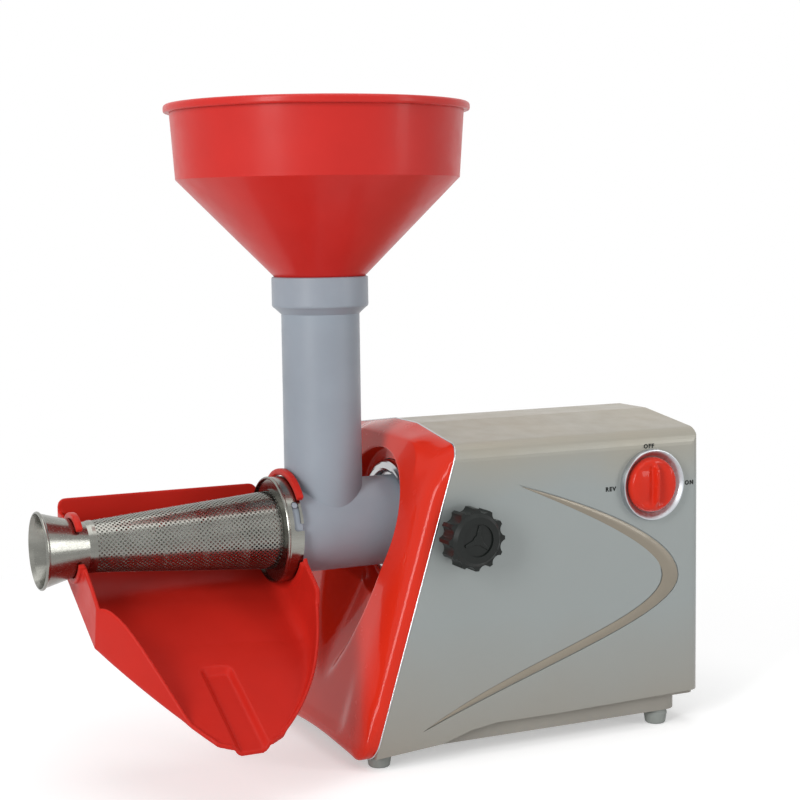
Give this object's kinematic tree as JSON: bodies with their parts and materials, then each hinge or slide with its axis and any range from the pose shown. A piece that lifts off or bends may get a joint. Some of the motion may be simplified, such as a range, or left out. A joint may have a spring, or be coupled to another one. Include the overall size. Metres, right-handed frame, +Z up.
{
  "type": "electric tomato press",
  "caption": "Countertop press with a funnel over a horizontal screw barrel, a perforated cone strainer, a side chute and a geared motor housing.",
  "frame": {"origin": "on the floor, under the middle of the bounding box of the whole press", "axes": "+X along the drive axis from the outlet towards the motor, +Y across the press away from the control side, +Z up"},
  "size_m": [0.5048, 0.2544, 0.4764],
  "materials": {
    "funnel_red": "satin gloss, moulded",
    "chute_red": "satin gloss, moulded",
    "bezel_red": "high gloss",
    "head_grey": "satin, metal-effect",
    "shell_silver": "silver-champagne metal-effect lacquer",
    "auger_white": "smooth",
    "bronze": "turned",
    "seal_rubber": "matte",
    "stainless": "polished stainless",
    "base_grey": "fine grain",
    "foot_rubber": "matte",
    "zinc_steel": "zinc plated",
    "polished_aluminium": "turned and polished",
    "cast_aluminium": "as cast",
    "brass_insert": "turned",
    "black_plastic": "fine grain",
    "chrome_ring": "bright",
    "gear_nylon": "moulded",
    "gear_steel": "hobbed, oiled",
    "lamination": "stacked laminations",
    "copper": "enamelled winding",
    "carbon": "matte"
  },
  "bodies": {
    "base": {"front_bezel": "bezel_red", "housing_shell": "shell_silver", "base_tray": "base_grey", "foot_front_near": "foot_rubber", "foot_front_far": "foot_rubber", "foot_rear_near": "foot_rubber", "foot_rear_far": "foot_rubber", "foot_screws": "zinc_steel", "base_screws": "zinc_steel", "head_socket": "polished_aluminium", "socket_screws": "zinc_steel", "lock_insert": "brass_insert", "switch_ring": "chrome_ring", "switch_body": "black_plastic", "cord_gland": "black_plastic", "gearbox_case": "cast_aluminium", "gearbox_cover": "cast_aluminium", "gearbox_screws": "zinc_steel", "layshaft_1": "zinc_steel", "layshaft_2": "zinc_steel", "output_bearing": "bronze", "output_bush": "bronze", "motor_stator": "lamination", "field_coils": "copper", "motor_bracket_front": "cast_aluminium", "motor_bracket_rear": "cast_aluminium", "motor_bearing_front": "zinc_steel", "motor_bearing_rear": "zinc_steel", "brush_holders": "black_plastic", "carbon_brushes": "carbon", "motor_bolts": "zinc_steel"},
    "rotor": {"motor_shaft": "zinc_steel", "motor_armature": "lamination", "commutator": "copper", "cooling_fan": "black_plastic", "motor_pinion": "gear_steel"},
    "cluster_1": {"cluster_gear_1": "gear_nylon"},
    "cluster_2": {"cluster_gear_2": "gear_nylon"},
    "output": {"output_gear": "gear_steel", "output_shaft": "gear_steel"},
    "head": {"head_casting": "head_grey", "auger_bush": "bronze", "flange_seal": "seal_rubber"},
    "auger": {"auger": "auger_white"},
    "strainer": {"strainer_screen": "stainless", "strainer_flange": "stainless", "outlet_cone": "stainless"},
    "funnel": {"funnel": "funnel_red"},
    "chute": {"chute": "chute_red"},
    "stud": {"lock_stud": "zinc_steel"},
    "knob": {"lock_knob": "black_plastic"},
    "switch": {"switch_knob": "bezel_red", "switch_shaft": "zinc_steel"}
  },
  "joints": [
    {"name": "motor_spin", "type": "hinge", "parent": "base", "child": "rotor", "pos_m": [0.15935, 0.0153, 0.088], "axis": [1, 0, 0], "continuous": true},
    {"name": "cluster_1_spin", "type": "hinge", "parent": "base", "child": "cluster_1", "pos_m": [0.09435, 0.04329, 0.0988], "axis": [1, 0, 0], "continuous": true},
    {"name": "cluster_2_spin", "type": "hinge", "parent": "base", "child": "cluster_2", "pos_m": [0.07435, 0.00986, 0.1158], "axis": [1, 0, 0], "continuous": true},
    {"name": "output_spin", "type": "hinge", "parent": "base", "child": "output", "pos_m": [0.06435, 0.0153, 0.165], "axis": [1, 0, 0], "continuous": true},
    {"name": "head_pull", "type": "slide", "parent": "base", "child": "head", "axis": [-1, 0, 0], "range_m": [0, 0.06]},
    {"name": "auger_spin", "type": "hinge", "parent": "head", "child": "auger", "pos_m": [-0.03565, 0.0153, 0.165], "axis": [1, 0, 0], "continuous": true},
    {"name": "strainer_twist", "type": "hinge", "parent": "head", "child": "strainer", "pos_m": [-0.07185, 0.0153, 0.165], "axis": [-1, 0, 0], "range_deg": [0, 25]},
    {"name": "funnel_lift", "type": "slide", "parent": "head", "child": "funnel", "axis": [0, 0, 1], "range_m": [0, 0.05]},
    {"name": "chute_swivel", "type": "hinge", "parent": "head", "child": "chute", "pos_m": [-0.14865, 0.0153, 0.165], "axis": [1, 0, 0], "range_deg": [-20, 10]},
    {"name": "lock_slide", "type": "slide", "parent": "base", "child": "stud", "axis": [0, -1, 0], "range_m": [0, 0.004]},
    {"name": "lock_turn", "type": "hinge", "parent": "stud", "child": "knob", "pos_m": [0.03435, -0.0897, 0.165], "axis": [0, 1, 0], "range_deg": [0, 960]},
    {"name": "switch_turn", "type": "hinge", "parent": "base", "child": "switch", "pos_m": [0.19435, -0.0797, 0.19], "axis": [0, 1, 0], "range_deg": [-90, 90]}
  ],
  "couplings": [
    {"joint": "cluster_1_spin", "follows": "motor_spin", "ratio": -0.25},
    {"joint": "cluster_2_spin", "follows": "motor_spin", "ratio": 0.0625},
    {"joint": "output_spin", "follows": "motor_spin", "ratio": -0.013889},
    {"joint": "auger_spin", "follows": "motor_spin", "ratio": -0.013889},
    {"joint": "lock_turn", "follows": "lock_slide", "rad_per_m": 4188.8}
  ]
}
